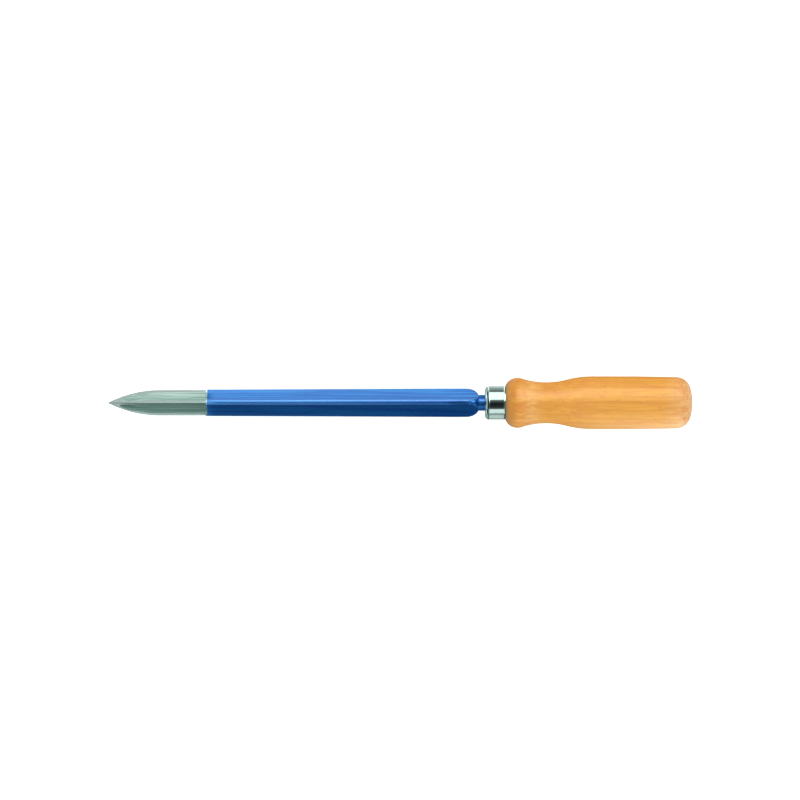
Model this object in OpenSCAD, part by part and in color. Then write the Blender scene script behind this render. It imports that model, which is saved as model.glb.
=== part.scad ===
// Triangular hand scraper: three-edged blade, ferrule and turned handle.
// X runs along the tool from the point (-X) to the butt (+X). Z points up through the ridge edge.
// The origin is on the tool's axis, in the middle of the handle's straight barrel. Sizes are in mm.

/* [Ground end] */
// Free length of the blade, from the point to the ferrule
blade_len = 200; // [150:1:250]
// Length of the bright ground end, up to the run-out ramp
ground_len = 52; // [45:0.5:80]
// Distance from the axis to each ground face
face_in = 3.9; // [3.8:0.05:4]
// Radius of the curve that brings each face down to the point
point_r = 98; // [90:1:110]
// Depth of the hollow ground into each face, at the ramp
hollow_depth = 1.1; // [0.9:0.05:1.2]
// How much shallower the hollow is where the point's curve starts
hollow_rise = 0.35; // [0.2:0.05:0.5]
// Radius of the hollow across the face
hollow_r = 12; // [11:0.5:14]
// Distance from the point at which the hollow runs out
hollow_start = 6.5; // [5:0.5:8]
// Slope of the ramp between the ground end and the shank, in degrees
ramp_angle = 50; // [35:1:55]

/* [Shank] */
// Radius of the rounded edges
edge_r = 1.3; // [1:0.05:1.4]
// How far a rounded edge stands past the sharp ground edge in front of it
edge_step = 0.05; // [0.02:0.01:0.2]
// How much further from the axis an edge is at the heel
shank_taper = 0.7; // [0.1:0.02:0.8]
// Radius of the flute across each face
flute_r = 26; // [22:0.5:32]
// How far a flute cuts into the rounded edges beside it
flute_bite = 0.17; // [0.12:0.01:0.25]

/* [Heel and neck] */
// Length over which the edges fall slowly towards the heel
heel_fall_len = 14; // [8:1:25]
// Diameter at which the rounded heel starts
heel_d = 16.4; // [15:0.1:17]
// Length of the rounded heel
heel_len = 5.9; // [4:0.1:10]
// Radius of the heel's curve
heel_r = 6.6; // [6:0.1:20]
// Diameter of the heel's end, which stands out as a small shoulder over the neck
heel_end_d = 9.2; // [8.7:0.1:9.8]
// Diameter of the neck
neck_d = 8.4; // [7.6:0.1:8.6]
// Bare length of the neck, from the heel to the ferrule
neck_len = 3.6; // [2:0.2:10]
// How much thinner the neck starts inside the heel, where the flutes run out
neck_rise = 0.7; // [0.5:0.1:1]

/* [Tang] */
// Width of the square tang where it leaves the neck
tang_root_w = 5.6; // [5:0.1:5.8]
// Width of the square tang at its end
tang_end_w = 2.6; // [2:0.1:3.4]
// Length of the tang
tang_len = 60; // [45:1:70]

/* [Ferrule] */
// Outside diameter
ferrule_d = 17.8; // [16.5:0.1:18.4]
// Length
ferrule_len = 11; // [8:0.5:16]
// Wall thickness
ferrule_wall = 0.9; // [0.6:0.1:1.2]
// Radius of the front edge
ferrule_edge_r = 2.2; // [1.4:0.1:3]
// Radius of the outer edge next to the wood
ferrule_back_r = 0.4; // [0.2:0.05:0.5]
// Gap between the neck and the hole in the front wall
neck_gap = 0.3; // [0.1:0.05:0.5]
// Gap between the ferrule and the tenon
tenon_fit = 0.05; // [0.02:0.01:0.1]
// Gap between the tenon's end and the front wall
tenon_end_gap = 0.2; // [0.1:0.05:0.5]

/* [Handle] */
// Length of the wood behind the ferrule
handle_len = 99; // [90:1:130]
// Diameter of the front bead
bead_d = 26.5; // [25:0.1:28]
// Width of the flat front face that is left outside the ferrule
bead_lip = 0.35; // [0.2:0.05:0.6]
// Radius of the curve from the front face up to the bead's crest
bead_front_r = 6.5; // [6:0.1:9]
// Straight length on top of the bead
bead_land = 0.6; // [0.2:0.1:3]
// Radius of the bead's back edge
bead_back_r = 6; // [4:0.5:12]
// Diameter of the waist
waist_d = 21.7; // [19.5:0.1:23.5]
// Distance from the ferrule to the waist
waist_pos = 21.5; // [19:0.5:24]
// Diameter of the barrel
barrel_d = 28; // [26.5:0.1:32]
// Distance from the ferrule to the front of the straight barrel
barrel_pos = 46; // [42:0.5:50]
// Length of the straight barrel
barrel_len = 22; // [12:0.5:22]
// Diameter at the back of the handle, before the rounded butt
butt_d = 27.3; // [25.5:0.1:28]
// Radius of the butt's edge
butt_edge_r = 8; // [5:0.5:9]
// Radius of the domed end
butt_dome_r = 30; // [25:1:60]

/* [Tang bore] */
// Diameter of the wide bore behind the tenon's end
mouth_bore_d = 6.4; // [6:0.1:7]
// Depth of the wide bore
mouth_bore_len = 24; // [18:1:30]
// Diameter of the pilot bore
pilot_bore_d = 4.2; // [3.6:0.1:4.6]
// Space left in the pilot bore behind the tang
pilot_extra = 4; // [2:0.5:10]

/* [Hidden] */
$fn = 96;
PAINT = [0.16, 0.38, 0.72];
STEEL = [0.74, 0.79, 0.77];
PLATE = [0.86, 0.89, 0.88];
BEECH = [0.9, 0.64, 0.32];
// Stations along the tool
shoulder_x = -(barrel_pos + barrel_len / 2);
ferrule_x = shoulder_x - ferrule_len;
tip_x = ferrule_x - blade_len;
ground_x = tip_x + ground_len;
heel_x = ferrule_x - neck_len;
tenon_x = ferrule_x + ferrule_wall + tenon_end_gap;
// Length of the curve at the point, to a hundredth so that curve and flat meet exactly
point_len = round(100 * sqrt(2 * point_r * face_in - face_in * face_in)) / 100;
curve_x = tip_x + point_len;
// The hollow's floor follows its own curve, which meets the face at hollow_start, to a hundredth too
hollow_in = face_in - hollow_depth;
curve_in = hollow_in + hollow_rise;
curve_hollow_r = hollow_r - hollow_rise;
hollow_slope = hollow_rise / (ground_len - point_len);
run = point_len - hollow_start;
face_drop = point_r - sqrt(point_r * point_r - run * run);
hollow_drop = face_drop - (face_in - curve_in);
hollow_path_r = round(50 * (run * run + hollow_drop * hollow_drop) / hollow_drop) / 100;
// Degrees that the hollow's curve runs on at both ends
sweep_over = 1;
// Distance from the axis to the centre of a rounded edge, and to the axis of the flutes beside it
edge_front = 2 * face_in + edge_step - edge_r;
flute_front = flute_axis(edge_front);
// Slopes of the tapered shank
shank_len = heel_x - ground_x;
edge_slope = shank_taper / shank_len;
flute_slope = (flute_axis(edge_front + shank_taper) - flute_front) / shank_len;
// Reach is past every edge, and over is how far a cutting form runs on past what it cuts
reach = 12;
over = 3;
// The round stock of the ground end stops this far before the ramp, inside the shank
stock_gap = 0.5;
// Room between the shank's edges and the start of the slow fall
fall_gap = 0.1;
// The heel's curve runs from the end of the slow fall to the shoulder over the neck
heel_fall_x = heel_x - heel_len;
edge_reach = edge_front + edge_slope * (heel_fall_x - heel_fall_len - ground_x) + edge_r;
// Ferrule and tenon
ferrule_in_r = ferrule_d / 2 - ferrule_wall;
tenon_r = ferrule_in_r - tenon_fit;
ferrule_in_edge_r = ferrule_edge_r - ferrule_wall;
// Curves of the handle, each tangent to the next
bead_r = bead_d / 2;
waist_r = waist_d / 2;
barrel_r = barrel_d / 2;
butt_r = butt_d / 2;
bead_rise = bead_r - ferrule_d / 2 - bead_lip;
bead_front_u = sqrt(2 * bead_front_r * bead_rise - bead_rise * bead_rise);
bead_front_turn = acos(1 - bead_rise / bead_front_r);
crest_u = bead_front_u + bead_land;
bead_h = bead_r - waist_r;
waist_run = waist_pos - crest_u;
waist_curve_r = (waist_run * waist_run + bead_h * bead_h) / (2 * bead_h) - bead_back_r;
barrel_h = barrel_r - waist_r;
barrel_run = barrel_pos - waist_pos;
swell_r = (barrel_run * barrel_run + barrel_h * barrel_h) / (2 * barrel_h) - waist_curve_r;
bead_turn = atan2(waist_run, waist_curve_r + bead_back_r - bead_h);
swell_turn = atan2(barrel_run, waist_curve_r + swell_r - barrel_h);
dome_u = handle_len - butt_dome_r;
butt_c_r = butt_r - butt_edge_r;
butt_c_u = dome_u + sqrt(pow(butt_dome_r - butt_edge_r, 2) - butt_c_r * butt_c_r);
dome_turn = atan2(butt_c_u - dome_u, butt_c_r);

// Distance of a flute's axis, for edges whose centres are at distance e.
function flute_axis(e) = (e + sqrt(4 * pow(flute_r + edge_r - flute_bite, 2) - 3 * e * e)) / 2;

// Points of an arc from angle a0 to a1, in n steps.
function arc(c, r, a0, a1, n) =
  [for (i = [0:n]) let (a = a0 + (a1 - a0) * i / n) c + r * [cos(a), sin(a)]];

// Centre of an arc of radius r that bulges outwards from p to q.
function bulge_centre(p, q, r) =
  let (half = (q - p) / 2, h = sqrt(r * r - half * half))
  p + half + h / norm(half) * [-half[1], half[0]];

// Turns a profile of [radius, station] points about the tool's axis.
module turned(points) {
  rotate([0, 90, 0]) rotate_extrude() polygon(points);
}

// A tapered round bar along X, from x0 to x1.
module round_bar(x0, x1, r0, r1) {
  translate([x0, 0, 0]) rotate([0, 90, 0]) cylinder(h = x1 - x0, r1 = r0, r2 = r1);
}

// The three faces or edges of the blade.
module three_ways() {
  for (turn = [0, 120, 240]) rotate([turn, 0, 0]) children();
}

// All that lies inside the ground surface of the lower face: curve, flat and ramp.
module ground_face() {
  ramp_x = ground_x + over;
  rotate([90, 0, 0]) linear_extrude(height = 4 * reach, center = true) {
    intersection() {
      translate([curve_x, point_r - face_in]) circle(r = point_r);
      translate([tip_x - over, -reach]) square([point_len + over, 3 * reach]);
    }
    polygon([
      [curve_x, 2 * reach],
      [curve_x, -face_in],
      [ground_x, -face_in],
      [ramp_x, -face_in - over * tan(ramp_angle)],
      [ramp_x, -2 * reach],
      [ferrule_x, -2 * reach],
      [ferrule_x, 2 * reach]
    ]);
  }
}

// The hollow in the lower face: it follows the point's curve, deepens slowly and ends in the ramp.
module hollow() {
  axis_z = -hollow_in - hollow_r;
  sweep = asin(point_len / hollow_path_r) + sweep_over;
  translate([curve_x, 0, hollow_path_r - curve_in])
    rotate([90, 0, 0])
      rotate([0, 0, -90 - sweep])
        rotate_extrude(angle = sweep + sweep_over)
          translate([hollow_path_r + curve_hollow_r, 0]) circle(r = curve_hollow_r);
  translate([0, 0, axis_z])
    round_bar(curve_x - over, ground_x, curve_hollow_r - over * hollow_slope, hollow_r);
  translate([0, 0, axis_z])
    round_bar(ground_x, ground_x + over, hollow_r, hollow_r - over * tan(ramp_angle));
}

// The three-edged bar of the shank, with rounded edges and a flute in each face.
module shank_bar() {
  bar_len = shank_len + 2 * over;
  core_r = edge_front - over * edge_slope;
  difference() {
    union() {
      round_bar(ground_x - over, heel_x + over, core_r, core_r + bar_len * edge_slope);
      three_ways()
        translate([ground_x - over, 0, core_r])
          rotate([0, 90 - atan(edge_slope), 0]) cylinder(h = bar_len, r = edge_r);
    }
    three_ways()
      translate([ground_x, 0, -flute_front])
        rotate([0, 90 + atan(flute_slope), 0])
          translate([0, 0, -2 * over]) cylinder(h = bar_len + 2 * over, r = flute_r);
  }
}

// Turned form that rounds off the heel.
module heel_form() {
  start = [heel_d / 2, heel_fall_x];
  end = [heel_end_d / 2, heel_x];
  c = bulge_centre(start, end, heel_r);
  a0 = atan2(start[1] - c[1], start[0] - c[0]);
  a1 = atan2(end[1] - c[1], end[0] - c[0]);
  turned(concat(
    [
      [0, tip_x - over],
      [reach, tip_x - over],
      [reach, heel_fall_x - heel_fall_len],
      [edge_reach + fall_gap, heel_fall_x - heel_fall_len]
    ],
    arc(c, heel_r, a0, a1, 8),
    [[0, heel_x]]
  ));
}

module blade_body() {
  difference() {
    intersection() {
      union() {
        round_bar(tip_x - over, ground_x - stock_gap, reach, reach);
        shank_bar();
      }
      heel_form();
      ground_face();
      rotate([120, 0, 0]) ground_face();
      rotate([240, 0, 0]) ground_face();
    }
    three_ways() hollow();
  }
}

// The square tapered tang. It also cuts its own seat in the handle.
module tang() {
  outline = [
    [tenon_x, -tang_root_w / 2],
    [tenon_x + tang_len, -tang_end_w / 2],
    [tenon_x + tang_len, tang_end_w / 2],
    [tenon_x, tang_root_w / 2]
  ];
  intersection() {
    linear_extrude(height = neck_d, center = true) polygon(outline);
    rotate([90, 0, 0]) linear_extrude(height = neck_d, center = true) polygon(outline);
  }
}

module blade() {
  color(STEEL) intersection() {
    blade_body();
    translate([tip_x - over, -reach, -reach]) cube([ground_len + over, 2 * reach, 2 * reach]);
  }
  color(PAINT) intersection() {
    blade_body();
    translate([ground_x, -reach, -reach]) cube([shank_len + over, 2 * reach, 2 * reach]);
  }
  color(PAINT) {
    round_bar(heel_x - heel_len, heel_x, neck_d / 2 - neck_rise, neck_d / 2);
    round_bar(heel_x, tenon_x, neck_d / 2, neck_d / 2);
  }
  color(STEEL) tang();
}

module ferrule() {
  hole_r = neck_d / 2 + neck_gap;
  edge_c = [ferrule_d / 2 - ferrule_edge_r, ferrule_x + ferrule_edge_r];
  back_c = [ferrule_d / 2 - ferrule_back_r, shoulder_x - ferrule_back_r];
  color(PLATE) turned(concat(
    [[hole_r, ferrule_x + ferrule_wall], [hole_r, ferrule_x]],
    arc(edge_c, ferrule_edge_r, -90, 0, 8),
    arc(back_c, ferrule_back_r, 0, 90, 4),
    [[ferrule_in_r, shoulder_x]],
    arc(edge_c, ferrule_in_edge_r, 0, -90, 6)
  ));
}

module handle() {
  tenon_edge_r = ferrule_in_edge_r - tenon_fit;
  tenon_edge_c = [tenon_r - tenon_edge_r, tenon_x + tenon_edge_r];
  at = [0, shoulder_x];
  bead_front_c = at + [bead_r - bead_front_r, bead_front_u];
  bead_back_c = at + [bead_r - bead_back_r, crest_u];
  waist_c = at + [waist_r + waist_curve_r, waist_pos];
  swell_c = at + [barrel_r - swell_r, barrel_pos];
  butt_c = at + [butt_c_r, butt_c_u];
  dome_c = at + [0, dome_u];
  color(BEECH) difference() {
    turned(concat(
      [[0, tenon_x]],
      arc(tenon_edge_c, tenon_edge_r, -90, 0, 4),
      [at + [tenon_r, 0]],
      arc(bead_front_c, bead_front_r, -bead_front_turn, 0, 10),
      arc(bead_back_c, bead_back_r, 0, bead_turn, 4),
      arc(waist_c, waist_curve_r, 180 + bead_turn, 180 - swell_turn, 16),
      arc(swell_c, swell_r, -swell_turn, 0, 8),
      [at + [barrel_r, barrel_pos + barrel_len]],
      arc(butt_c, butt_edge_r, 0, dome_turn, 10),
      arc(dome_c, butt_dome_r, dome_turn, 90, 5)
    ));
    round_bar(tenon_x - over, tenon_x + mouth_bore_len, mouth_bore_d / 2, mouth_bore_d / 2);
    round_bar(tenon_x + over, tenon_x + tang_len + pilot_extra, pilot_bore_d / 2, pilot_bore_d / 2);
    tang();
  }
}

blade();
ferrule();
handle();
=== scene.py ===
"""Triangular scraper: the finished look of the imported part, in the part's own frame.

X runs along the tool from the point (-X) to the butt (+X), and the blade's ridge edge points up (+Z).
The origin is on the axis, in the middle of the handle's barrel. Lengths are in mm until a mesh or an
object is made.
"""

import math

import bmesh
import bpy
import numpy as np
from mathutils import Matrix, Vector


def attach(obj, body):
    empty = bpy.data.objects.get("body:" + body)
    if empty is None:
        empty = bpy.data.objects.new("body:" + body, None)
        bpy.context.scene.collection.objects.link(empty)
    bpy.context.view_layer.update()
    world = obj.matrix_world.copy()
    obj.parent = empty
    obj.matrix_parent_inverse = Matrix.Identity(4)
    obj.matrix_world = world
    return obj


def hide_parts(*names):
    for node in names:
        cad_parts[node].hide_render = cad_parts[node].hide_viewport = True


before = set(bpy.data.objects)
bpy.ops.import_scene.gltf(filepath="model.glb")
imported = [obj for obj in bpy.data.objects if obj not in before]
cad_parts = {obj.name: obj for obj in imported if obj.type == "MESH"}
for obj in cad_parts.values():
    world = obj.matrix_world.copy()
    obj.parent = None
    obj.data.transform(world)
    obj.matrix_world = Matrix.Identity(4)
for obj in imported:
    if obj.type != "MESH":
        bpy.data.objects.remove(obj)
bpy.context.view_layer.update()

MM = 0.001
SIXTY = math.radians(60)
FULL_TURN = (-180, 180)

# Ground end of the blade
BLADE_LEN = 200.0
GROUND_LEN = 52.0
FACE_IN = 3.9
POINT_R = 98.0
HOLLOW_DEPTH = 1.1
HOLLOW_RISE = 0.35
HOLLOW_R = 12.0
HOLLOW_START = 6.5
RAMP_SLOPE = math.tan(math.radians(50))
RAMP_LEN = 1.1  # the ramp meets the shank within it
KEEN_R = 0.05  # what the stone leaves of a sharp edge
TIP_FACE_IN = 0.12  # from the axis to a face, at the first section behind the point
TIP_WORN = 0.05  # what is worn off the very point

# Painted shank, heel and neck
EDGE_R = 1.3
EDGE_STEP = 0.05
SHANK_TAPER = 0.7
FLUTE_R = 26.0
FLUTE_BITE = 0.17
HEEL_FALL_LEN = 14.0
FALL_GAP = 0.1  # between the edges and the turned form, where their slow fall starts
CLEAR_R = 20.0  # well outside the blade
HEEL_START_R = 8.2
HEEL_END_R = 4.6
HEEL_LEN = 5.9
HEEL_R = 6.6
NECK_R = 4.2
NECK_LEN = 3.6
NECK_RISE = 0.7
SHOULDER_FILLET = 0.35  # paint that fills the corner between heel and neck
PAINT_START = 0.8  # from the end of the ground length, on the ramp
PAINT_FILM = 0.04
PAINT_LIP = 0.12
WEAR_AND_HIGHLIGHT_WIDTH = 1.2  # on either side of an edge

# Tang
TANG_ROOT = 5.6
TANG_END = 2.6
TANG_LEN = 60.0

# Ferrule
FERRULE_R = 8.9
FERRULE_LEN = 11.0
FERRULE_WALL = 0.9
FERRULE_EDGE_R = 2.2
FERRULE_BACK_R = 0.4
FERRULE_LIP_R = 0.25
NECK_GAP = 0.3
TENON_FIT = 0.05
TENON_END_GAP = 0.2

# Handle
HANDLE_LEN = 99.0
BEAD_R = 13.25
BEAD_LIP = 0.35
BEAD_FRONT_R = 6.5
BEAD_LAND = 0.6
BEAD_BACK_R = 6.0
WAIST_R = 10.85
WAIST_POS = 21.5
BARREL_R = 14.0
BARREL_POS = 46.0
BARREL_LEN = 22.0
BUTT_R = 13.65
BUTT_EDGE_R = 8.0
BUTT_DOME_R = 30.0
BORE_GAP = 0.05
BORE_EXTRA = 4.0  # past the end of the tang
BORE_TIP_R = 0.6

# Stations along the tool
SHOULDER_X = -(BARREL_POS + BARREL_LEN / 2)
BUTT_X = SHOULDER_X + HANDLE_LEN
FERRULE_X = SHOULDER_X - FERRULE_LEN
TENON_X = FERRULE_X + FERRULE_WALL + TENON_END_GAP
TANG_END_X = TENON_X + TANG_LEN
TIP_X = FERRULE_X - BLADE_LEN
GROUND_X = TIP_X + GROUND_LEN
RAMP_END_X = GROUND_X + RAMP_LEN
PAINT_X = GROUND_X + PAINT_START
HEEL_X = FERRULE_X - NECK_LEN
HEEL_FALL_X = HEEL_X - HEEL_LEN
FALL_START_X = HEEL_FALL_X - HEEL_FALL_LEN
FILLET_END_X = HEEL_X + SHOULDER_FILLET

# Sizes that follow from the others
POINT_LEN = round(math.sqrt(2 * POINT_R * FACE_IN - FACE_IN**2), 2)
CURVE_X = TIP_X + POINT_LEN
HOLLOW_IN = FACE_IN - HOLLOW_DEPTH
CURVE_IN = HOLLOW_IN + HOLLOW_RISE
HOLLOW_RUN = POINT_LEN - HOLLOW_START
HOLLOW_DROP = POINT_R - math.sqrt(POINT_R**2 - HOLLOW_RUN**2) - (FACE_IN - CURVE_IN)
HOLLOW_PATH_R = round((HOLLOW_RUN**2 + HOLLOW_DROP**2) / (2 * HOLLOW_DROP), 2)
EDGE_FRONT = 2 * FACE_IN + EDGE_STEP - EDGE_R
NECK_ROOT_R = NECK_R - NECK_RISE
HOLE_R = NECK_R + NECK_GAP
FERRULE_IN_R = FERRULE_R - FERRULE_WALL
FERRULE_IN_EDGE_R = FERRULE_EDGE_R - FERRULE_WALL
TENON_R = FERRULE_IN_R - TENON_FIT
TENON_EDGE_R = FERRULE_IN_EDGE_R - TENON_FIT
BEAD_RISE = BEAD_R - FERRULE_R - BEAD_LIP
BEAD_FRONT_LEN = math.sqrt(2 * BEAD_FRONT_R * BEAD_RISE - BEAD_RISE**2)

# Steps across half a face, a land and half a rounded edge
FACE_STEPS = 12
LAND_STEPS = 6
NOSE_STEPS = 4
EDGE_STEPS = LAND_STEPS + NOSE_STEPS
LEAST_HOLLOW = 0.08  # least width of a hollow's steps, as a share of the face

# Steps along the blade and round the turned pieces
POINT_STEPS = 45
POINT_EASE = 1.25  # above 1, the stations crowd towards the point
GROUND_STEPS = 25
RAMP_STEPS = 22
LIP_STEPS = 3
SHANK_STEPS = 83
FALL_STEPS = 21
HEEL_STEPS = 29
FILLET_STEPS = 8
NECK_STEPS = 8
TANG_STEPS = 12
STATION_GAP = 0.012  # stations closer than this count as one
PROFILE_GAP = 0.02  # and so do points of a profile
TURNED_STEPS = 144
NEAR = 0.02  # reaches past rounding, and not to the next station
TINY = 1e-6

# Edges that turn by more degrees than this stay crisp
BARE_CREASE = 16
PAINTED_CREASE = 50
TURNED_CREASE = 40

# Places of the blade's materials in its list of them
GROUND, HONED, PAINTED = range(3)


def smooth(t):
    """Smooth step from 0 to 1."""
    t = np.clip(t, 0.0, 1.0)
    return t * t * (3 - 2 * t)


def after(first, last, steps):
    """Evenly spaced values from first to last, without first itself."""
    return np.linspace(first, last, steps + 1)[1:]


def polar(radius, angle):
    """2-D points at these radii and angles."""
    return np.stack([radius * np.cos(angle), radius * np.sin(angle)], 1)


def ring(x, section):
    """The 2-D points (y, z) of a section as points in space."""
    return np.column_stack([np.full(len(section), x), section])


def flute_axis(edge):
    """Distance from the tool's axis to a flute's axis, with the edges' centres at distance edge."""
    return (edge + math.sqrt(4 * (FLUTE_R + EDGE_R - FLUTE_BITE) ** 2 - 3 * edge * edge)) / 2


def shank_levels(x):
    """Distances from the tool's axis to the centre of a rounded edge and to the axis of a flute."""
    share = (x - GROUND_X) / (HEEL_X - GROUND_X)
    front, back = flute_axis(EDGE_FRONT), flute_axis(EDGE_FRONT + SHANK_TAPER)
    return EDGE_FRONT + SHANK_TAPER * share, front + (back - front) * share


def ground_levels(x):
    """Distances from the axis to a ground face and to its hollow's floor, and the hollow's radius."""
    back = CURVE_X - x
    if back > 0:
        face = FACE_IN - POINT_R + math.sqrt(POINT_R**2 - back**2)
        floor = CURVE_IN - HOLLOW_PATH_R + math.sqrt(HOLLOW_PATH_R**2 - back**2)
        return face, floor, HOLLOW_R - HOLLOW_RISE
    rise = HOLLOW_RISE * (1 - min(1.0, (x - CURVE_X) / (GROUND_X - CURVE_X)))
    ramp = max(0.0, x - GROUND_X) * RAMP_SLOPE
    return FACE_IN + ramp, HOLLOW_IN + rise + ramp, HOLLOW_R - rise - ramp


def near_side(centre, radius, angle):
    """Distance along rays at these angles to the near side of a circle, or infinity if they miss."""
    under = radius**2 - (centre * np.sin(angle)) ** 2
    hit = centre * np.cos(angle) - np.sqrt(np.maximum(under, 0.0))
    return np.where(under > 0, hit, np.inf)


def ground_radius(x, angle):
    """Radius of the ground section, at angles from a face's normal."""
    face, floor, bow = ground_levels(x)
    radius = np.minimum(face / np.cos(angle), near_side(floor + bow, bow, angle))
    lean = SIXTY - np.abs(angle)
    centre = 2 * (face - KEEN_R)
    turn = math.atan2(KEEN_R * math.sin(SIXTY), centre + KEEN_R * math.cos(SIXTY))
    nose = centre * np.cos(lean) + np.sqrt(np.maximum(KEEN_R**2 - (centre * np.sin(lean)) ** 2, 0.0))
    return np.where(lean < turn, nose, radius)


def shank_radius(x, angle):
    """Radius of the shank's section, at angles from a face's normal."""
    edge, axis = shank_levels(x)
    lean = SIXTY - np.abs(angle)
    over = EDGE_R**2 - (edge * np.sin(lean)) ** 2
    nose = np.where(over > 0, edge * np.cos(lean) + np.sqrt(np.maximum(over, 0.0)), edge)
    return np.minimum(near_side(axis, FLUTE_R, angle), np.maximum(nose, edge))


def heel_radius(x):
    """Radius of the turned form that rounds off the heel and goes on as the neck."""
    if x <= FALL_START_X:
        return CLEAR_R
    if x <= HEEL_FALL_X:
        edge = shank_levels(FALL_START_X)[0] + EDGE_R + FALL_GAP
        return edge + (HEEL_START_R - edge) * (x - FALL_START_X) / (HEEL_FALL_X - FALL_START_X)
    if x > HEEL_X:
        left = 1 - min(1.0, (x - HEEL_X) / SHOULDER_FILLET)
        return NECK_R + (HEEL_END_R - NECK_R) * (1 - math.sqrt(1 - left**2))
    start, end = np.array([HEEL_START_R, HEEL_FALL_X]), np.array([HEEL_END_R, HEEL_X])
    half = (end - start) / 2
    lift = math.sqrt(HEEL_R**2 - half @ half) / math.hypot(*half)
    centre = start + half + lift * np.array([-half[1], half[0]])
    return centre[0] + math.sqrt(max(HEEL_R**2 - (x - centre[1]) ** 2, 0.0))


def ground_angles(x):
    """Angles of a ground section's points, from the middle of a face to its edge."""
    face, floor, bow = ground_levels(x)
    depth = max(face - floor, 0.0)
    width = max(math.sqrt(max(2 * bow * depth - depth**2, 0.0)), LEAST_HOLLOW * math.sqrt(3) * face)
    t = np.linspace(0, width, FACE_STEPS + 1)
    level = np.minimum(face, floor + bow - np.sqrt(bow**2 - t**2))
    hollow = np.arctan2(t, level)
    land = np.arctan2(after(width, math.sqrt(3) * (face - KEEN_R), LAND_STEPS), face)
    turn = after(SIXTY, 0, NOSE_STEPS)
    centre = 2 * (face - KEEN_R)
    nose = SIXTY - np.arctan2(KEEN_R * np.sin(turn), centre + KEEN_R * np.cos(turn))
    return np.concatenate([hollow, land, nose])


def shank_angles(x):
    """Angles of a shank section's points, from the middle of a flute to the edge."""
    edge, axis = shank_levels(x)
    to_axis = np.array([axis * math.cos(SIXTY) - edge, axis * math.sin(SIXTY)])
    gap = math.hypot(*to_axis)
    bite = math.acos((EDGE_R**2 + gap**2 - FLUTE_R**2) / (2 * EDGE_R * gap))
    first = math.atan2(to_axis[1], to_axis[0]) - bite
    turn = np.linspace(first, 0, EDGE_STEPS + 1)
    nose = SIXTY - np.arctan2(EDGE_R * np.sin(turn), edge + EDGE_R * np.cos(turn))
    reach = (edge + EDGE_R * math.cos(first)) / math.cos(SIXTY - nose[0])
    t = np.linspace(0, reach * math.sin(nose[0]), FACE_STEPS + 1)
    flute = np.arctan2(t, axis - np.sqrt(FLUTE_R**2 - t**2))
    return np.concatenate([flute[:-1], nose])


def half_face(x):
    """Angles of a blade section's points, which pass from ground to shank along the ramp."""
    share = float(smooth((x - GROUND_X) / RAMP_LEN))
    if share <= 0:
        return ground_angles(x)
    if share >= 1:
        return shank_angles(x)
    return ground_angles(x) * (1 - share) + shank_angles(x) * share


def blade_radius(x, angle):
    """Radius of the blade with its paint, at angles from a face's normal."""
    if x <= GROUND_X:
        radius = ground_radius(x, angle)
    elif x < RAMP_END_X:
        radius = np.minimum(ground_radius(x, angle), shank_radius(x, angle))
    else:
        radius = shank_radius(x, angle)
    radius = radius + PAINT_FILM * float(smooth((x - PAINT_X) / PAINT_LIP))
    radius = np.minimum(radius, heel_radius(x))
    if x > HEEL_FALL_X:
        run = min(1.0, (x - HEEL_FALL_X) / (HEEL_X - HEEL_FALL_X))
        radius = np.maximum(radius, NECK_ROOT_R + (NECK_R - NECK_ROOT_R) * run)
    return radius


def blade_section(x):
    """A section of the blade: its 2-D points (y, z), their wear and painted highlight near the edges, and
    1 for those on lands and edges.
    """
    half = half_face(x)
    angle = np.concatenate([-half[:0:-1], half[:-1]])  # from one edge to just before the next
    radius = blade_radius(x, angle)
    wear_and_highlight = np.exp(-(((SIXTY - np.abs(angle)) * radius / WEAR_AND_HIGHLIGHT_WIDTH) ** 2))
    land = (np.abs(angle) >= half[FACE_STEPS] - TINY).astype(float)
    # The first of the three faces points down.
    around = np.concatenate([angle + math.radians(-90 + 120 * face) for face in range(3)])
    return polar(np.tile(radius, 3), around), np.tile(wear_and_highlight, 3), np.tile(land, 3)


def tang_section(x, angles):
    """The square tang's section at these angles."""
    width = TANG_ROOT + (TANG_END - TANG_ROOT) * (x - TENON_X) / TANG_LEN
    return polar(width / 2 / np.maximum(np.abs(np.cos(angles)), np.abs(np.sin(angles))), angles)


def grid_mesh(name, rings, start=None, end=None, loop=False):
    """A smooth mesh of quads through equal rings of points, with UVs (around, along).

    Fans close it towards the points start and end, and loop joins its last ring to the first.
    """
    count = len(rings[0])
    verts = [tuple(p) for r in rings for p in r]
    faces, uvs = [], []
    rows = len(rings) if loop else len(rings) - 1
    for i in range(rows):
        j = (i + 1) % len(rings)
        for k in range(count):
            m = (k + 1) % count
            faces.append((i * count + k, i * count + m, j * count + m, j * count + k))
            u0, u1 = k / count, (k + 1) / count
            v0, v1 = i / rows, (i + 1) / rows
            uvs.append(((u0, v0), (u1, v0), (u1, v1), (u0, v1)))
    for pole, row, flip in ((start, 0, True), (end, len(rings) - 1, False)):
        if pole is None:
            continue
        verts.append(tuple(pole))
        v = float(row > 0)
        for k in range(count):
            m = (k + 1) % count
            a, b = row * count + k, row * count + m
            faces.append((b, a, len(verts) - 1) if flip else (a, b, len(verts) - 1))
            u0, u1 = k / count, (k + 1) / count
            uvs.append(((u1, v), (u0, v), (u0, v)) if flip else ((u0, v), (u1, v), (u1, v)))
    mesh = bpy.data.meshes.new(name)
    mesh.from_pydata([[c * MM for c in p] for p in verts], [], faces)
    layer = mesh.uv_layers.new(name="around_along")
    layer.data.foreach_set("uv", np.array([c for f in uvs for p in f for c in p], np.float32))
    bm = bmesh.new()
    bm.from_mesh(mesh)
    bmesh.ops.recalc_face_normals(bm, faces=bm.faces)
    bm.to_mesh(mesh)
    bm.free()
    mesh.shade_smooth()
    mesh.update()
    return mesh


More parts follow.
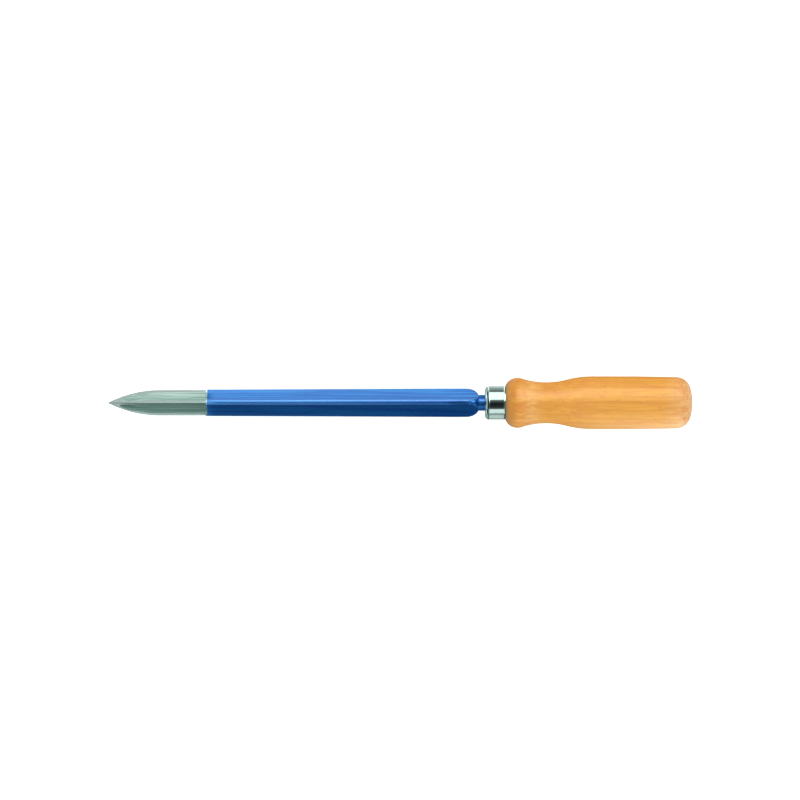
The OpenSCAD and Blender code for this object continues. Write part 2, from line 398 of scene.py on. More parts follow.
def new_object(name, data):
    """A new object in the scene."""
    obj = bpy.data.objects.new(name, data)
    bpy.context.scene.collection.objects.link(obj)
    return obj


def piece(name, mesh, node, materials):
    """A visible piece that stands for a CAD node and rides where the node does."""
    obj = new_object(name, mesh)
    for m in materials:
        mesh.materials.append(m)
    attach(obj, "root")
    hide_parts(node)


def point_values(mesh, name, values):
    """A number at each point of a mesh, which its material reads."""
    layer = mesh.attributes.new(name, "FLOAT", "POINT")
    layer.data.foreach_set("value", np.asarray(values, np.float32))


def blade_stations():
    """Where the blade's sections are taken, closest together where its form changes fast."""
    first = CURVE_X - math.sqrt(POINT_R**2 - (POINT_R - FACE_IN + TIP_FACE_IN) ** 2)
    ease = np.linspace(0, 1, POINT_STEPS + 1) ** POINT_EASE
    lip = np.linspace(PAINT_X, PAINT_X + PAINT_LIP, LIP_STEPS + 1)
    stations = np.concatenate([
        first + (CURVE_X - first) * ease,
        after(CURVE_X, GROUND_X, GROUND_STEPS),
        np.sort(np.concatenate([after(GROUND_X, RAMP_END_X, RAMP_STEPS), lip])),
        after(RAMP_END_X, FALL_START_X, SHANK_STEPS),
        after(FALL_START_X, HEEL_FALL_X, FALL_STEPS),
        HEEL_FALL_X + (HEEL_X - HEEL_FALL_X) * np.sin(after(0, math.pi / 2, HEEL_STEPS)),
        HEEL_X + SHOULDER_FILLET * after(0, 1, FILLET_STEPS) ** 2,
        after(FILLET_END_X, TENON_X, NECK_STEPS),
    ])
    kept = [stations[0]]
    for x in stations[1:]:
        if x - kept[-1] > STATION_GAP:
            kept.append(x)
    return kept


def blade_rings():
    """The rings of the blade and its tang, with the wear and painted highlight near the edges and the land
    at their points.
    """
    rings, wear_and_highlight, land = [], [], []
    for x in blade_stations():
        section, section_wear_and_highlight, lands = blade_section(x)
        rings.append(ring(x, section))
        wear_and_highlight.append(section_wear_and_highlight)
        land.append(lands)
    angles = np.arctan2(rings[-1][:, 2], rings[-1][:, 1])
    for x in np.linspace(TENON_X, TANG_END_X, TANG_STEPS + 1):
        rings.append(ring(x, tang_section(x, angles)))
        wear_and_highlight.append(np.zeros(len(angles)))
        land.append(np.zeros(len(angles)))
    return rings, wear_and_highlight, land


def crease_blade(mesh):
    """Keeps the ground creases and the tang's corners crisp. Paint softens the others."""
    bm = bmesh.new()
    bm.from_mesh(mesh)
    for e in bm.edges:
        x = (e.verts[0].co.x + e.verts[1].co.x) / 2 / MM
        limit = BARE_CREASE if x < PAINT_X or x > TENON_X - NEAR else PAINTED_CREASE
        e.smooth = len(e.link_faces) == 2 and e.calc_face_angle(0) < math.radians(limit)
    bm.to_mesh(mesh)
    bm.free()


def blade_mesh():
    """The whole blade: ground end, painted shank, heel, neck and tang."""
    rings, wear_and_highlight, land = blade_rings()
    poles = [np.ones(1), np.zeros(1)]
    mesh = grid_mesh("scraper_blade", rings, start=(TIP_X + TIP_WORN, 0, 0), end=(TANG_END_X, 0, 0))
    point_values(mesh, "edge_wear_and_highlight", np.concatenate(wear_and_highlight + poles))
    land = np.concatenate(land + poles)
    centre = np.array([p.center.x / MM for p in mesh.polygons])
    honed = np.array([min(land[v] for v in p.vertices) > 0.5 for p in mesh.polygons])
    honed |= (centre > GROUND_X) | (centre < TIP_X + HOLLOW_START)
    painted = (centre > PAINT_X) & (centre < TENON_X - NEAR)
    kinds = np.where(painted, PAINTED, np.where(honed, HONED, GROUND))
    mesh.polygons.foreach_set("material_index", kinds.astype(np.int32))
    crease_blade(mesh)
    return mesh


def arc(centre, radius, first, last, steps):
    """Points (x, r) of an arc, with angles in degrees from the radial direction towards +X."""
    turn = np.radians(np.linspace(first, last, steps + 1))
    return [(centre[0] + radius * math.sin(t), centre[1] + radius * math.cos(t)) for t in turn]


def straight(a, b, steps):
    """Points on the way from a to b, without a itself."""
    return [tuple(np.array(a) + (np.array(b) - np.array(a)) * i / steps) for i in range(1, steps + 1)]


def thin_out(profile):
    """The profile without points that lie on the one before."""
    kept = [profile[0]]
    for p in profile[1:]:
        if math.dist(p, kept[-1]) > PROFILE_GAP:
            kept.append(p)
    return kept


def turned(name, profile, loop=False):
    """A mesh turned about the tool's axis from a profile of (x, r) points."""
    profile = thin_out(profile)
    circle = polar(1.0, np.linspace(0, 2 * math.pi, TURNED_STEPS, endpoint=False))
    poles = [None, None]
    if not loop:
        poles = [(x, 0, 0) for x, _ in (profile[0], profile[-1])]
        profile = profile[1:-1]
    mesh = grid_mesh(name, [ring(x, r * circle) for x, r in profile], *poles, loop)
    mesh.set_sharp_from_angle(angle=math.radians(TURNED_CREASE))
    return mesh


def ferrule_mesh():
    """The pressed ferrule, a thin cap with a rounded front edge."""
    front = (FERRULE_X + FERRULE_EDGE_R, FERRULE_R - FERRULE_EDGE_R)
    back = (SHOULDER_X - FERRULE_BACK_R, FERRULE_R - FERRULE_BACK_R)
    lip = (FERRULE_X + FERRULE_LIP_R, HOLE_R + FERRULE_LIP_R)
    profile = arc(lip, FERRULE_LIP_R, -180, -90, 4)
    profile += straight(profile[-1], (FERRULE_X, front[1]), 4)
    profile += arc(front, FERRULE_EDGE_R, -90, 0, 16)[1:]
    profile += straight(profile[-1], (back[0], FERRULE_R), 10)
    profile += arc(back, FERRULE_BACK_R, 0, 90, 6)[1:]
    profile += straight(profile[-1], (SHOULDER_X, FERRULE_IN_R), 2)
    profile += straight(profile[-1], (front[0], FERRULE_IN_R), 10)
    profile += arc(front, FERRULE_IN_EDGE_R, 0, -90, 8)[1:]
    profile += straight(profile[-1], (FERRULE_X + FERRULE_WALL, HOLE_R), 4)
    profile += straight(profile[-1], profile[0], 2)[:-1]
    return turned("scraper_ferrule", profile, loop=True)


def bore_profile():
    """The handle's profile from the bottom of its bore, over the tenon, to the front of the bead."""
    corner = math.sqrt(0.5)  # half a square's diagonal, as a share of its side
    end_r, root_r = TANG_END * corner + BORE_GAP, TANG_ROOT * corner + BORE_GAP
    bottom = TANG_END_X + BORE_EXTRA
    profile = [(bottom, 0.0), (bottom, BORE_TIP_R), (bottom - BORE_TIP_R, end_r)]
    profile += straight(profile[-1], (TANG_END_X, end_r), 3)
    profile += straight(profile[-1], (TENON_X, root_r), 20)
    profile += straight(profile[-1], (TENON_X, TENON_R - TENON_EDGE_R), 4)
    profile += arc((TENON_X + TENON_EDGE_R, TENON_R - TENON_EDGE_R), TENON_EDGE_R, -90, 0, 6)
    profile += straight(profile[-1], (SHOULDER_X, TENON_R), 10)
    profile += straight(profile[-1], (SHOULDER_X, FERRULE_R + BEAD_LIP), 3)
    return profile


def grip_profile():
    """The handle's profile from the front of the bead to the middle of the butt."""
    bead_x = SHOULDER_X + BEAD_FRONT_LEN
    crest_x = bead_x + BEAD_LAND
    waist_x = SHOULDER_X + WAIST_POS
    barrel_x = SHOULDER_X + BARREL_POS
    bead_h, barrel_h = BEAD_R - WAIST_R, BARREL_R - WAIST_R
    run, swell_run = waist_x - crest_x, barrel_x - waist_x
    waist = (run**2 + bead_h**2) / (2 * bead_h) - BEAD_BACK_R
    swell = (swell_run**2 + barrel_h**2) / (2 * barrel_h) - waist
    front_turn = math.degrees(math.acos(1 - BEAD_RISE / BEAD_FRONT_R))
    bead_turn = math.degrees(math.atan2(run, waist + BEAD_BACK_R - bead_h))
    swell_turn = math.degrees(math.atan2(swell_run, waist + swell - barrel_h))
    dome_x = BUTT_X - BUTT_DOME_R
    butt_r = BUTT_R - BUTT_EDGE_R
    butt_run = math.sqrt((BUTT_DOME_R - BUTT_EDGE_R) ** 2 - butt_r**2)
    dome_turn = math.degrees(math.atan2(butt_run, butt_r))
    butt_x = dome_x + butt_run
    barrel_end = (barrel_x + BARREL_LEN, BARREL_R)
    profile = arc((bead_x, BEAD_R - BEAD_FRONT_R), BEAD_FRONT_R, -front_turn, 0, 18)
    profile += straight(profile[-1], (crest_x, BEAD_R), 4)
    profile += arc((crest_x, BEAD_R - BEAD_BACK_R), BEAD_BACK_R, 0, bead_turn, 10)
    # The waist is hollow: its centre lies outside the wood, and its radius counts inwards.
    profile += arc((waist_x, WAIST_R + waist), -waist, bead_turn, -swell_turn, 40)
    profile += arc((barrel_x, BARREL_R - swell), swell, -swell_turn, 0, 20)
    profile += straight(profile[-1], barrel_end, 22)
    profile += straight(barrel_end, (butt_x, BUTT_R), 20)
    profile += arc((butt_x, butt_r), BUTT_EDGE_R, 0, dome_turn, 24)
    profile += arc((dome_x, 0.0), BUTT_DOME_R, dome_turn, 90, 16)
    profile[-1] = (BUTT_X, 0.0)
    return profile


def handle_mesh():
    """The turned handle, closed, with the tang's bore."""
    return turned("scraper_handle", bore_profile() + grip_profile())


class Nodes:
    """A node tree that is put together step by step."""

    def __init__(self, owner):
        owner.use_nodes = True
        self.tree = owner.node_tree
        self.tree.nodes.clear()

    def add(self, kind, **settings):
        """A new node with these settings."""
        node = self.tree.nodes.new(kind)
        for key, value in settings.items():
            setattr(node, key, value)
        return node

    def link(self, a, b):
        """Links output a to socket b."""
        self.tree.links.new(a, b)

    def feed(self, socket, value):
        """Links an output to a socket, or sets the socket to a constant. Colours are opaque."""
        if isinstance(value, bpy.types.NodeSocket):
            self.link(value, socket)
        else:
            socket.default_value = (*value, 1.0) if socket.type == "RGBA" else value

    def math(self, kind, a, b=0.0):
        """The result of one operation on numbers."""
        node = self.add("ShaderNodeMath", operation=kind)
        self.feed(node.inputs[0], a)
        self.feed(node.inputs[1], b)
        return node.outputs[0]

    def span(self, value, low, high, to_low=0.0, to_high=1.0, kind="LINEAR"):
        """Maps low..high to to_low..to_high, and no further."""
        node = self.add("ShaderNodeMapRange", interpolation_type=kind)
        self.feed(node.inputs["Value"], value)
        for key, number in zip(("From Min", "From Max", "To Min", "To Max"), (low, high, to_low, to_high)):
            self.feed(node.inputs[key], number)
        return node.outputs["Result"]

    def mix(self, share, a, b):
        """Colour a with a share of colour b."""
        node = self.add("ShaderNodeMix", data_type="RGBA")
        self.feed(node.inputs["Factor"], share)
        for socket, value in zip([s for s in node.inputs if s.type == "RGBA"], (a, b)):
            self.feed(socket, value)
        return [s for s in node.outputs if s.type == "RGBA"][0]

    def split(self, vector):
        """The X, Y and Z of a vector."""
        node = self.add("ShaderNodeSeparateXYZ")
        self.link(vector, node.inputs[0])
        return node.outputs

    def steps(self, value, levels):
        """A curve of straight stretches through (value, level) pairs."""
        low, high = levels[0][0], levels[-1][0]
        node = self.add("ShaderNodeValToRGB")
        most = max(level for _, level in levels)
        stops = node.color_ramp.elements
        while len(stops) < len(levels):
            stops.new(0.5)
        for stop, (at, level) in zip(stops, levels):
            stop.position = (at - low) / (high - low)
            stop.color = (level / most, level / most, level / most, 1)
        self.link(self.span(value, low, high), node.inputs["Fac"])
        return self.math("MULTIPLY", node.outputs["Color"], most)

    def angle_round(self, place):
        """Degrees round the tool's axis, from straight up towards +Y."""
        _, y, z = self.split(place)
        return self.math("MULTIPLY", self.math("ARCTAN2", y, z), 180 / math.pi)


class Shader(Nodes):
    """A surface material in the object's own coordinates."""

    def __init__(self, name):
        self.material = bpy.data.materials.new(name)
        super().__init__(self.material)
        self.bsdf = self.add("ShaderNodeBsdfPrincipled")
        out = self.add("ShaderNodeOutputMaterial")
        self.link(self.bsdf.outputs[0], out.inputs["Surface"])
        self.place = self.add("ShaderNodeTexCoord").outputs["Object"]

    def at(self, axis):
        """Where the surface lies along an axis, in mm."""
        return self.math("MULTIPLY", self.split(self.place)[axis], 1 / MM)

    def noise(self, per_mm, detail=3.0, rough=0.55):
        """Noise with so many features per mm along each axis."""
        scaled = self.add("ShaderNodeMapping")
        scaled.inputs["Scale"].default_value = [n / MM for n in per_mm]
        self.link(self.place, scaled.inputs["Vector"])
        node = self.add("ShaderNodeTexNoise")
        self.link(scaled.outputs[0], node.inputs["Vector"])
        node.inputs["Scale"].default_value = 1.0
        node.inputs["Detail"].default_value = detail
        node.inputs["Roughness"].default_value = rough
        return node.outputs["Fac"]

    def points(self, name):
        """A number that the mesh holds at its points."""
        return self.add("ShaderNodeAttribute", attribute_name=name).outputs["Fac"]

    def bump(self, height, depth, before=None):
        """A normal that follows a height of this depth in mm, on top of the one before."""
        node = self.add("ShaderNodeBump")
        node.inputs["Strength"].default_value = 1.0
        node.inputs["Distance"].default_value = depth * MM
        self.link(height, node.inputs["Height"])
        if before is not None:
            self.link(before, node.inputs["Normal"])
        return node.outputs[0]

    def set(self, **values):
        """Sets or links inputs of the surface, named with underscores for spaces."""
        for key, value in values.items():
            self.feed(self.bsdf.inputs[key.replace("_", " ")], value)

    def around(self):
        """Tangents that run around the tool, across lengthwise grinding lines."""
        node = self.add("ShaderNodeTangent", direction_type="UV_MAP", uv_map="around_along")
        self.link(node.outputs[0], self.bsdf.inputs["Tangent"])


# Colours of the steel and the plating
GROUND_DARK = (0.36, 0.49, 0.45)
GROUND_PALE = (0.50, 0.66, 0.61)
GROUND_LINE = (0.27, 0.385, 0.345)
GROUND_SHEEN = (0.6, 0.95, 0.85)
HONED_DARK = (0.55, 0.69, 0.65)
HONED_PALE = (0.66, 0.81, 0.77)
HONED_DULL = (0.44, 0.58, 0.545)
PLATE_DARK = (0.62, 0.83, 0.78)
PLATE_PALE = (0.69, 0.91, 0.86)


def ground_steel():
    """Bright hollow-ground steel with lengthwise grinding lines."""
    s = Shader("ground_steel")
    fine = s.noise((0.05, 3.0, 3.0), detail=4, rough=0.7)
    lines = s.noise((0.025, 1.15, 1.15), detail=1, rough=0.5)
    grey = s.mix(s.span(fine, 0.35, 0.66), GROUND_DARK, GROUND_PALE)
    grey = s.mix(s.span(lines, 0.45, 0.60), grey, GROUND_LINE)
    s.set(Base_Color=grey, Metallic=1.0, Specular_Tint=GROUND_SHEEN)
    s.set(Roughness=s.span(fine, 0.3, 0.7, 0.5, 0.4), Anisotropic=0.6)
    s.around()
    s.set(Normal=s.bump(fine, 0.012))
    return s.material


def honed_steel():
    """Lands along the edges, finished on a stone, and the end of the grinding. The very edge is duller."""
    s = Shader("honed_steel")
    marks = s.noise((0.22, 2.2, 2.2), detail=3, rough=0.6)
    grey = s.mix(s.span(marks, 0.3, 0.7), HONED_DARK, HONED_PALE)
    dull = s.span(s.points("edge_wear_and_highlight"), 0.6, 1.0, 0.0, 0.5)
    s.set(Base_Color=s.mix(dull, grey, HONED_DULL), Metallic=1.0)
    s.set(Roughness=s.span(marks, 0.3, 0.7, 0.24, 0.18))
    s.set(Normal=s.bump(marks, 0.0015))
    return s.material


def plated():
    """Bright plating with faint turning lines and a few rubs."""
    s = Shader("bright_plating")
    lines = s.noise((5.0, 0.12, 0.12), detail=3)
    clouds = s.noise((0.25, 0.25, 0.25), detail=3)
    s.set(Base_Color=s.mix(s.span(clouds, 0.35, 0.7), PLATE_DARK, PLATE_PALE), Metallic=1.0)
    s.set(Roughness=s.span(clouds, 0.3, 0.75, 0.05, 0.10))
    s.set(Normal=s.bump(lines, 0.0012))
    return s.material


# Colours of the paint, and the stretch along which its rubbed edges and their painted highlight end
PAINT_DARK = (0.003, 0.082, 0.395)
PAINT_PALE = (0.018, 0.197, 0.575)
PAINT_BROAD = (0.006, 0.113, 0.46)
PAINT_RUBBED_AND_HIGHLIGHT = (0.12, 0.38, 0.90)
PAINT_SHEEN = (0.2, 0.6, 1.0)
RUBBED_AND_HIGHLIGHT_END = (PAINT_X + 50, PAINT_X + 130)


def blue_lacquer():
    """Clear blue lacquer over a drawn bar, whose lines show through. It is rubbed thin at the edges, and a
    painted highlight lightens them too.
    """
    s = Shader("blue_lacquer")
    lines = s.noise((0.015, 0.95, 0.95), detail=3, rough=0.65)
    broad = s.noise((0.012, 0.6, 0.6), detail=2)
    specks = s.noise((1.3, 1.3, 1.3), detail=3)
    blue = s.mix(s.span(lines, 0.42, 0.58), PAINT_DARK, PAINT_PALE)
    blue = s.mix(s.span(broad, 0.38, 0.66, 0.0, 0.4), blue, PAINT_BROAD)
    # rubbed paint and a painted highlight: lighter blue along the edges
    rubbed_and_highlight = s.math("MULTIPLY", s.points("edge_wear_and_highlight"), s.span(specks, 0.40, 0.70, 0.45, 0.7))
    rubbed_and_highlight = s.math("MULTIPLY", rubbed_and_highlight, s.span(s.at("X"), *RUBBED_AND_HIGHLIGHT_END, 1.0, 0.05))
    s.set(Base_Color=s.mix(rubbed_and_highlight, blue, PAINT_RUBBED_AND_HIGHLIGHT), Metallic=0.74, Specular_Tint=PAINT_SHEEN)
    s.set(Roughness=s.span(lines, 0.3, 0.7, 0.22, 0.16), Anisotropic=0.6)
    s.set(Coat_Weight=0.17, Coat_Roughness=0.08, Coat_IOR=2.5)
    s.around()
    s.set(Normal=s.bump(broad, 0.03, s.bump(lines, 0.014)))
    return s.material


# Colours of the wood
GOLDEN = (0.82, 0.352, 0.030)
HONEY = (0.87, 0.366, 0.050)
# the painted highlight on the slope behind the bead
BEAD_BACK_HIGHLIGHT = (0.95, 0.495, 0.155)
BUTT_PALE = (0.95, 0.55, 0.275)
MOTTLE = (0.74, 0.23, 0.022)
STREAK = (0.68, 0.212, 0.022)
LATE_WOOD = (0.56, 0.185, 0.025)
FIBRE = (0.57, 0.19, 0.025)
REDDISH = (0.76, 0.25, 0.05)
FLECK = (0.57, 0.175, 0.025)
# grime and painted shade at the front of the bead, darkest against the ferrule
GRIME_AND_SHADE = (0.47, 0.18, 0.024)
STAIN_AND_SHADE = (0.28, 0.18, 0.065)

# Growth rings, about a pith well outside the blank that leans a little against the tool's axis
PITH_OFF = (0.0, 21.0, 34.0)  # from the pith to the tool's axis
PITH_TURN = (0.0, 2.2, -1.6)  # degrees
RING_WIDTH = 2.4
RING_WANDER = 3.0

# Stretches of the wood that differ
# the middle of the painted highlight behind the bead, and how far it reaches
BEAD_BACK_HIGHLIGHT_X = SHOULDER_X + 13
BEAD_BACK_HIGHLIGHT_REACH = 9
# the stretch over which the wood grows paler towards the butt
BUTT_PALE_X = (BUTT_X - 16, BUTT_X - 1)
MOTTLE_END = (SHOULDER_X + 5, SHOULDER_X + 14)
# where the grime and painted shade at the bead's front end; the painted shade is deeper on the -Y side
GRIME_AND_SHADE_END = (SHOULDER_X + 1.5, SHOULDER_X + 7)
SHADE_SIDE = (-8, 4)
STAIN_AND_SHADE_END = (SHOULDER_X + 0.2, SHOULDER_X + 2)


def late_wood(s):
    """The share of late wood in the growth rings."""
    pith = s.add("ShaderNodeMapping")
    pith.inputs["Location"].default_value = [c * MM for c in PITH_OFF]
    pith.inputs["Rotation"].default_value = [math.radians(a) for a in PITH_TURN]
    s.link(s.place, pith.inputs["Vector"])
    _, y, z = s.split(pith.outputs[0])
    far = s.math("SQRT", s.math("ADD", s.math("MULTIPLY", y, y), s.math("MULTIPLY", z, z)))
    wander = s.math("MULTIPLY", s.noise((0.02, 0.1, 0.1), detail=3), RING_WANDER)
    rings = s.math("ADD", s.math("MULTIPLY", far, 1 / (RING_WIDTH * MM)), wander)
    return s.span(s.math("FRACT", rings), 0.5, 0.98, kind="SMOOTHSTEP")


def lacquered_beech():
    """Clear lacquer over turned beech: growth rings, golden and reddish stretches, fibres and flecks."""
    s = Shader("lacquered_beech")
    tint = s.noise((0.03, 0.16, 0.16), detail=3)
    streak = s.noise((0.014, 0.6, 0.6), detail=4, rough=0.6)
    fibre = s.noise((0.07, 2.4, 2.4), detail=3, rough=0.6)
    patch = s.noise((0.09, 0.3, 0.3), detail=2)
    fleck = s.noise((0.26, 1.6, 1.6), detail=2, rough=0.4)
    x = s.at("X")
    wood = s.mix(s.span(tint, 0.38, 0.62), GOLDEN, HONEY)
    # A painted highlight pales a stretch behind the bead, the wood grows paler towards the butt, and the
    # bead is mottled.
    behind = s.math("ABSOLUTE", s.math("SUBTRACT", x, BEAD_BACK_HIGHLIGHT_X))
    wood = s.mix(s.span(behind, 0, BEAD_BACK_HIGHLIGHT_REACH, 0.65, 0.0, "SMOOTHSTEP"), wood, BEAD_BACK_HIGHLIGHT)
    wood = s.mix(s.span(x, *BUTT_PALE_X, 0.0, 0.7), wood, BUTT_PALE)
    mottle = s.math("MULTIPLY", s.span(patch, 0.45, 0.62), s.span(x, *MOTTLE_END, 0.6, 0.0))
    wood = s.mix(mottle, wood, MOTTLE)
    wood = s.mix(s.span(streak, 0.40, 0.64, 0.0, 0.55), wood, STREAK)
    wood = s.mix(s.math("MULTIPLY", late_wood(s), 0.14), wood, LATE_WOOD)
    wood = s.mix(s.span(fibre, 0.5, 0.72, 0.0, 0.45), wood, FIBRE)
    wood = s.mix(s.span(patch, 0.56, 0.72, 0.0, 0.6), wood, REDDISH)
    wood = s.mix(s.span(fleck, 0.60, 0.72, 0.0, 0.5), wood, FLECK)
    # Handling has darkened the front of the bead, and painted shade darkens it too, most of all against
    # the ferrule and on the -Y side.
    grime_and_shade = s.span(x, *GRIME_AND_SHADE_END, 0.55, 0.0)
    grime_and_shade = s.math("MULTIPLY", grime_and_shade, s.span(s.at("Y"), *SHADE_SIDE, 1.5, 0.9))
    wood = s.mix(grime_and_shade, wood, GRIME_AND_SHADE)
    wood = s.mix(s.span(x, *STAIN_AND_SHADE_END, 0.6, 0.0), wood, STAIN_AND_SHADE)
    s.set(Base_Color=wood, Roughness=s.span(fibre, 0.3, 0.7, 0.5, 0.6))
    s.set(Specular_IOR_Level=0.1, Coat_Weight=0.75, Coat_Roughness=0.3, Coat_IOR=1.5)
    s.set(Normal=s.bump(fleck, 0.006, s.bump(fibre, 0.006)))
    return s.material


# Colours of the stage
BLACK = (0.0, 0.0, 0.0)
WHITE = (1.0, 1.0, 1.0)
COOL = (0.82, 1.0, 0.97)
GREENISH = (0.72, 1.0, 0.95)
TABLE_DARK = (0.88, 0.88, 0.88)
TABLE_PALE = (0.9, 0.9, 0.9)

# The table, and what it stays clear of the tool by
TABLE_HALF = 2500.0
EDGES_CLEAR = 0.15
BEAD_CLEAR = 0.02


def floor():
    """A plain white table, on which the tool lies on the curve of its lower edges and on its bead."""
    half = TABLE_HALF * MM
    corners = [(-half, -half, 0), (half, -half, 0), (half, half, 0), (-half, half, 0)]
    mesh = bpy.data.meshes.new("table")
    mesh.from_pydata(corners, [], [(0, 1, 2, 3)])
    obj = new_object("table", mesh)
    front = Vector((CURVE_X, 0, -FACE_IN - EDGES_CLEAR))
    bead = Vector((SHOULDER_X + BEAD_FRONT_LEN + BEAD_LAND / 2, 0, -BEAD_R - BEAD_CLEAR))
    obj.location = bead * MM
    obj.rotation_euler = (0, math.atan2(front.z - bead.z, bead.x - front.x), 0)
    # The studio's own light fills in from below, so the table is only what the tool is seen against.
    obj.visible_glossy = obj.visible_diffuse = False
    s = Shader("white_table")
    grain = s.noise((0.004, 0.004, 0.004), detail=2)
    s.set(Base_Color=s.mix(grain, TABLE_DARK, TABLE_PALE), Roughness=0.9)
    s.set(Emission_Color=WHITE, Emission_Strength=0.55)
    s.set(Alpha=s.math("SUBTRACT", 1.0, s.add("ShaderNodeNewGeometry").outputs["Backfacing"]))
    mesh.materials.append(s.material)


# What each stretch reflects from round the tool's axis: degrees from straight up towards +Y, and radiance
GROUND_LIGHT = (
    (-180, 0.1), (-165, 0.04), (-134, 0.1), (-105, 0.27), (-75, 0.55), (-55, 0.85), (0, 0.9), (55, 1.4),
    (105, 1.75), (109, 0.58), (131, 0.58), (135, 1.75), (155, 1.4), (170, 0.5), (180, 0.1),
)
EDGE_LIGHT = ((-180, 0.82), (180, 0.82))
SHANK_LIGHT = (
    (-180, 1.0), (-172, 0.1), (-150, 0.05), (-100, 0.04), (-86, 0.05), (-79, 0.95), (-50, 0.95),
    (-36, 0.2), (-10, 0.1), (15, 0.1), (30, 0.2), (38, 1.2), (58, 1.2), (64, 1.3), (92, 1.4), (108, 1.6),
    (118, 1.55), (130, 1.13), (139, 0.9), (142, 2.7), (149, 2.7), (153, 1.6), (172, 1.8), (180, 1.0),
)
NECK_LIGHT = (
    (-180, 0.2), (-100, 0.2), (-74, 0.4), (-57, 0.5), (-41, 0.1), (-11, 0.05), (4, 0.5), (18, 2.3),
    (33, 4.3), (49, 4.0), (65, 1.2), (83, 0.2), (105, 0.6), (180, 0.3),
)
FERRULE_LIGHT = (
    (-180, 0.5), (-165, 0.45), (-125, 0.5), (-119, 0.65), (-93, 0.65), (-88, 0.36), (-75, 0.36),
    (-71, 0.92), (-45, 0.95), (-41, 0.15), (-33, 0.05), (-22, 0.02), (-8, 0.01), (0, 0.03), (8, 0.07),
    (15, 0.18), (19, 0.3), (23, 1.4), (73, 1.4), (77, 0.17), (94, 0.2), (103, 0.35), (118, 0.4),
    (124, 0.6), (145, 0.75), (180, 0.5),
)
HANDLE_LIGHT = (
    (-180, 0.2), (-133, 0.2), (-104, 0.2), (-56, 0.3), (-28, 0.15), (7, 0.1), (28, 5.2), (47, 5.2),
    (68, 0.1), (143, 0.05), (180, 0.2),
)
BUTT_LIGHT = (
    (-180, 0.4), (-133, 1.0), (-104, 3.2), (-56, 3.0), (-28, 0.6), (7, 0.4), (28, 4.6), (47, 4.6),
    (68, 0.1), (143, 0.05), (180, 0.4),
)

# Where the tubes of light start and end
GROUND_LIGHT_X = TIP_X - 40
EDGE_LIGHT_X = TIP_X - 30
NECK_LIGHT_X = HEEL_X + 1
FERRULE_LIGHT_X = FERRULE_X + 1
HANDLE_LIGHT_X = SHOULDER_X + 3
BUTT_LIGHT_X = (SHOULDER_X + 20, BUTT_X)  # along which the handle's light turns into the butt's
LIGHT_END_X = BUTT_X + 25

# Radii of the tubes. The handle's is narrow, so that little of it shows in the shank.
TUBE_R = 100.0
HANDLE_TUBE_R = 50.0
TUBE_STEPS = 120
TINT_TURN = (-40, 0)  # degrees over which a tube's colour changes from its -Y side to its +Y side

# A narrow light close beside the ground end, which only the lands of the lower edge reflect
EDGE_LIGHT_R = 27.0
EDGE_LIGHT_TURN = (-124.0, -116.0)

# How far a direction leans towards the butt, with the share of the shank's light that is left there
LEAN_SHARE = ((-1, 1), (0.17, 1), (0.23, 0.3), (0.34, 0.25), (0.5, 0.1), (1, 0))
# The same, with the plain grey that is added there
LEAN_GREY = (
    (-1, 0.14), (-0.96, 0.18), (-0.9, 0.5), (-0.8, 0.5), (-0.7, 0.0), (0.24, 0.0), (0.4, 0.7), (1, 0.65),
)
# From here to here the light in front of the tool takes the place of the shank's
FRONT_LEAN = (-0.12, -0.2)
RIM_LIGHT = (
    (-180, 0.4), (-105, 0.4), (-85, 0.02), (85, 0.02), (105, 0.5), (180, 0.4),
)

# Even light on matt surfaces, from above and added from the sides, and the world's tints at -Y and +Y
SOFT = 0.85
SOFT_SIDE = 0.6
WORLD_TINTS = ((0.88, 1.0, 1.07), (1.0, 1.04, 0.95))


def light_tube(name, low, high, light, tints, radius=TUBE_R, turn=FULL_TURN, then=None):
    """A tube of soft light, or part of one, round a stretch of the tool. Only reflections see it.

    tints are its colours on the -Y and +Y sides, and then is the light that it turns into at the butt.
    """
    angles = np.radians(np.linspace(*turn, TUBE_STEPS + 1))
    count = len(angles)
    bow = [(radius * math.sin(t), radius * math.cos(t)) for t in angles]
    verts = [(x * MM, y * MM, z * MM) for x in (low, high) for y, z in bow]
    faces = [(i, i + 1, count + i + 1, count + i) for i in range(count - 1)]
    mesh = bpy.data.meshes.new(name)
    mesh.from_pydata(verts, [], faces)
    obj = new_object(name, mesh)
    obj.visible_camera = obj.visible_diffuse = obj.visible_shadow = False
    s = Shader(name)
    angle = s.angle_round(s.place)
    level = s.steps(angle, light)
    if then is not None:
        level = s.span(s.at("X"), *BUTT_LIGHT_X, level, s.steps(angle, then))
    s.set(Base_Color=BLACK, Roughness=1.0, Specular_IOR_Level=0.0)
    s.set(Emission_Color=s.mix(s.span(angle, *TINT_TURN), *tints), Emission_Strength=level)
    mesh.materials.append(s.material)


def light_tubes():
    """The light of every stretch but the shank, which reflects the world."""
    plain = (WHITE, WHITE)
    light_tube("ground_light", GROUND_LIGHT_X, GROUND_X, GROUND_LIGHT, (GREENISH, WHITE))
    light_tube("edge_light", EDGE_LIGHT_X, GROUND_X, EDGE_LIGHT, plain, EDGE_LIGHT_R, EDGE_LIGHT_TURN)
    light_tube("neck_light", NECK_LIGHT_X, FERRULE_LIGHT_X, NECK_LIGHT, plain)
    light_tube("ferrule_light", FERRULE_LIGHT_X, HANDLE_LIGHT_X, FERRULE_LIGHT, plain)
    along = (HANDLE_LIGHT_X, LIGHT_END_X)
    light_tube("handle_light", *along, HANDLE_LIGHT, (COOL, COOL), HANDLE_TUBE_R, then=BUTT_LIGHT)


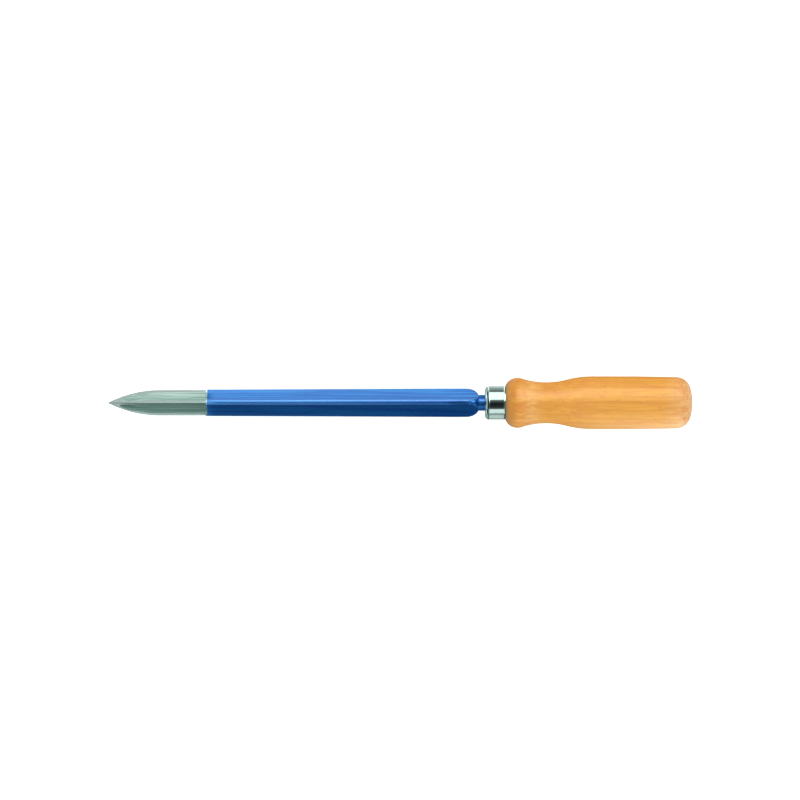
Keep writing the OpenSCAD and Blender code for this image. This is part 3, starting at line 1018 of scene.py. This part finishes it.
def world_light():
    """What the shank reflects, even light on matt surfaces, and plain white for the camera."""
    world = bpy.data.worlds.new("studio")
    bpy.context.scene.world = world
    n = Nodes(world)
    world.cycles.sampling_method = "NONE"
    place = n.add("ShaderNodeTexCoord").outputs["Generated"]
    path = n.add("ShaderNodeLightPath").outputs
    lean, side, _ = n.split(place)
    angle = n.angle_round(place)
    level = n.math("MULTIPLY", n.steps(angle, SHANK_LIGHT), n.steps(lean, LEAN_SHARE))
    level = n.span(lean, *FRONT_LEAN, level, n.steps(angle, RIM_LIGHT))
    level = n.math("ADD", level, n.steps(lean, LEAN_GREY))
    soft = n.span(n.math("ABSOLUTE", side), 0, 1, SOFT, SOFT + SOFT_SIDE)
    level = n.span(path["Is Diffuse Ray"], 0, 1, level, soft)
    level = n.span(path["Is Camera Ray"], 0, 1, level, 1.0)
    tint = n.mix(n.span(side, -1, 1), *WORLD_TINTS)
    light = n.add("ShaderNodeBackground")
    n.link(n.mix(path["Is Camera Ray"], tint, WHITE), light.inputs["Color"])
    n.link(level, light.inputs["Strength"])
    n.link(light.outputs[0], n.add("ShaderNodeOutputWorld").inputs["Surface"])


# Framing, as in the photograph
FRAME_PX = 800
MM_PER_PX = 0.53
TIP_PX = 107.5  # column of the point
AXIS_PX = 2.8  # rows from the middle of the frame down to the tool's axis
LENS = 300.0
SENSOR = 36.0
CLIP_START = 10.0
CLIP_END = 20000.0


def camera():
    """Straight above the tool, framed as in the photograph."""
    data = bpy.data.cameras.new("camera")
    data.lens = LENS
    data.sensor_width = SENSOR
    data.clip_start = CLIP_START * MM
    data.clip_end = CLIP_END * MM
    obj = new_object("camera", data)
    middle_x = TIP_X + (FRAME_PX / 2 - TIP_PX) * MM_PER_PX
    height = FRAME_PX * MM_PER_PX / 2 / (SENSOR / 2 / LENS)
    obj.location = Vector((middle_x, AXIS_PX * MM_PER_PX, height)) * MM
    bpy.context.scene.camera = obj


piece("scraper_blade", blade_mesh(), "blade", [ground_steel(), honed_steel(), blue_lacquer()])
piece("scraper_ferrule", ferrule_mesh(), "ferrule", [plated()])
piece("scraper_handle", handle_mesh(), "handle", [lacquered_beech()])
floor()
light_tubes()
world_light()
camera()
bpy.context.scene.view_settings.view_transform = "Standard"
